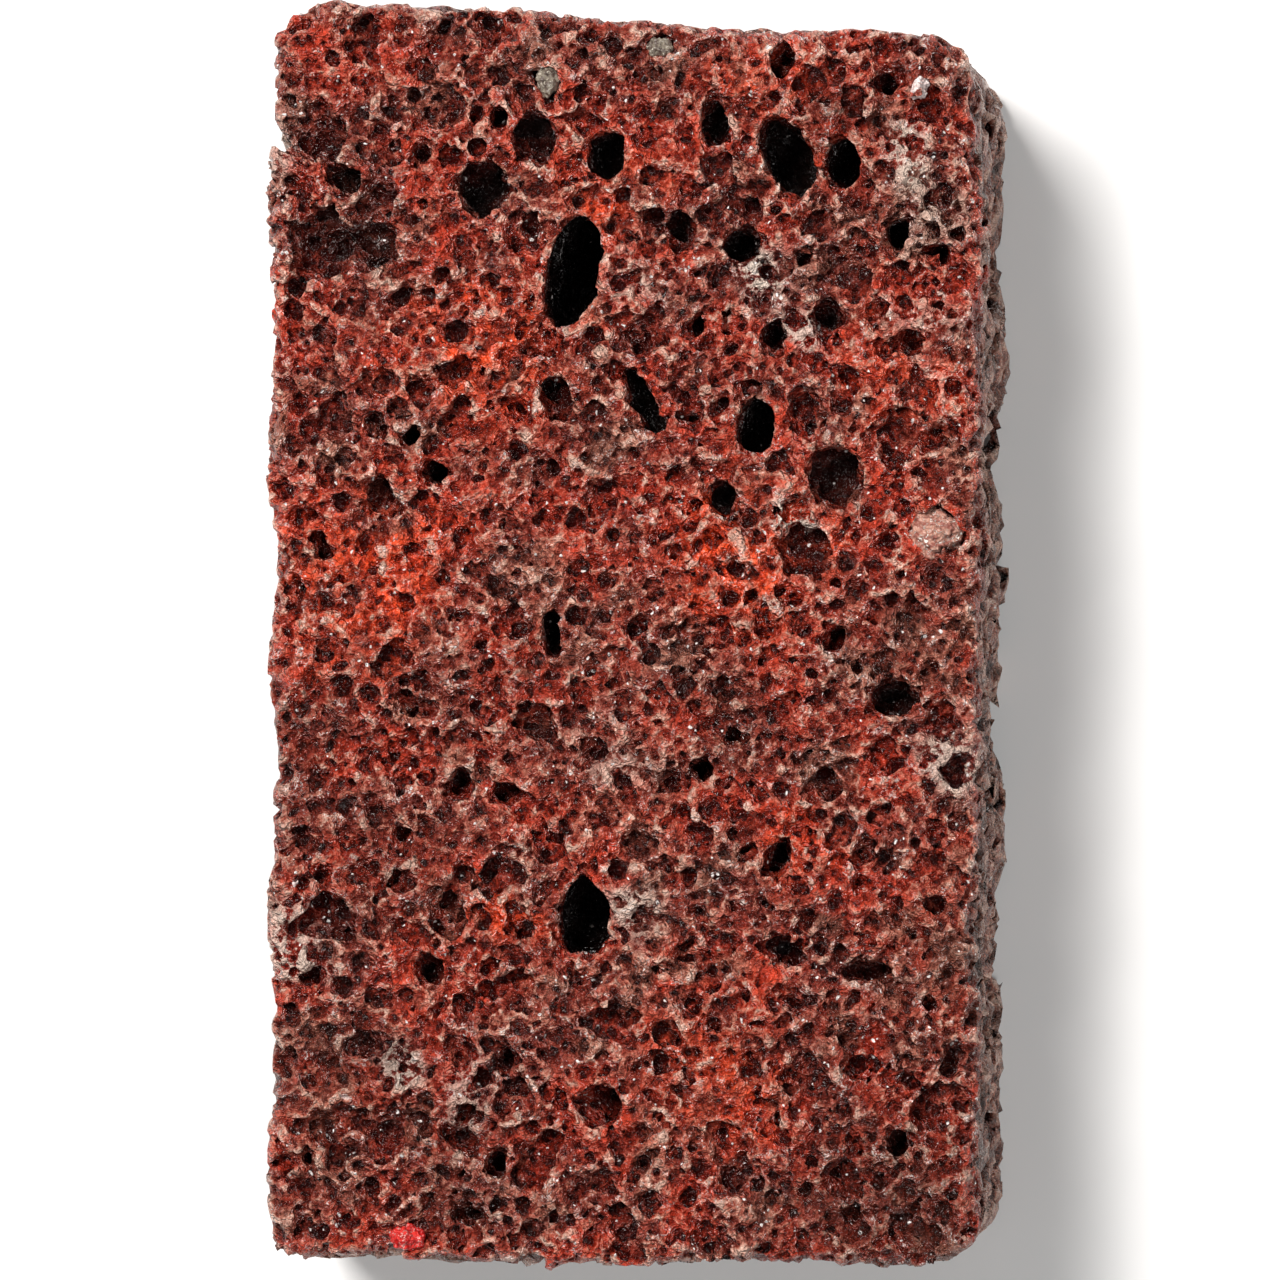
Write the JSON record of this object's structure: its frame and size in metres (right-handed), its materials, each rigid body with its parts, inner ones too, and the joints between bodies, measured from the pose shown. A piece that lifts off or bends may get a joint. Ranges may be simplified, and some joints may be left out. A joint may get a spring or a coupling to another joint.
{
  "type": "lava pumice bar",
  "caption": "Rectangular bar of porous red volcanic stone with sawn faces and tumbled edges, held in the hand for scrubbing.",
  "frame": {"origin": "centre of the bar's bounding box, on the ground back face that it lies on", "axes": "+Y along the length towards the end with the sloping edge, +X across the width, +Z out of the porous front face"},
  "size_m": [0.0568, 0.1004, 0.025],
  "materials": {
    "red_lava_stone": "rough open-pored red-brown lava with glassy sparkle, orange and grey zones",
    "grey_glassy_mineral": "semi-gloss grey-green mineral",
    "white_crystal": "glossy white crystal",
    "pale_tuff": "matte pale tan and pink ash stone with white flecks",
    "red_iron_oxide": "bright red oxide with glassy glints"
  },
  "bodies": {
    "root": {"lava_stone_block": "red_lava_stone", "grey_glass_grain": "grey_glassy_mineral", "grey_rock_grain": "grey_glassy_mineral", "white_feldspar_grain": "white_crystal", "white_edge_grain": "white_crystal", "pale_tuff_fragment": "pale_tuff", "red_oxide_nodule": "red_iron_oxide"}
  },
  "joints": []
}
